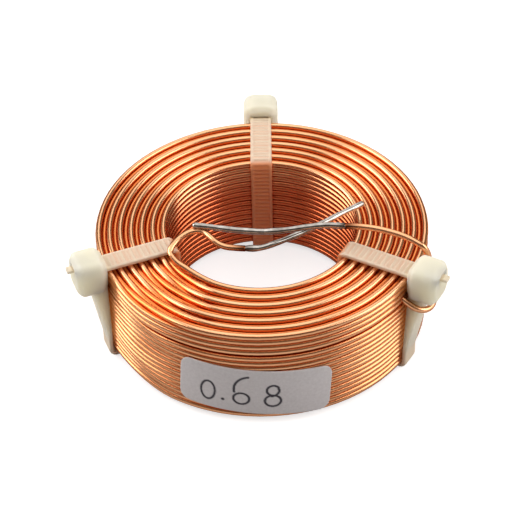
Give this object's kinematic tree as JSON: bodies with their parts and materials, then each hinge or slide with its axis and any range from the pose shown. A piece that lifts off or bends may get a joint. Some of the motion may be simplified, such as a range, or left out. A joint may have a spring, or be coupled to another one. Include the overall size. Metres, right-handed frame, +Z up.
{
  "type": "speaker crossover inductor",
  "caption": "Air-core coil of enamelled copper wire for a speaker crossover, bound with nylon cable ties, with two tinned wire leads and a paper value label.",
  "frame": {"origin": "on the coil's axis, at the level of the tie straps' undersides on which the coil stands", "axes": "+Z up along the coil's axis, towards the face with the leads; -Y towards the side with the label"},
  "size_m": [0.0456, 0.0456, 0.0171],
  "materials": {
    "enamelled_copper": "gloss",
    "tinned_copper": "satin",
    "natural_nylon": "satin",
    "paper": "matte"
  },
  "bodies": {
    "root": {"winding": "enamelled_copper", "start_lead": "enamelled_copper", "start_tinned_end": "tinned_copper", "finish_lead": "enamelled_copper", "finish_tinned_end": "tinned_copper", "tie_rear": "natural_nylon", "tie_left": "natural_nylon", "tie_right": "natural_nylon", "label": "paper"}
  },
  "joints": []
}
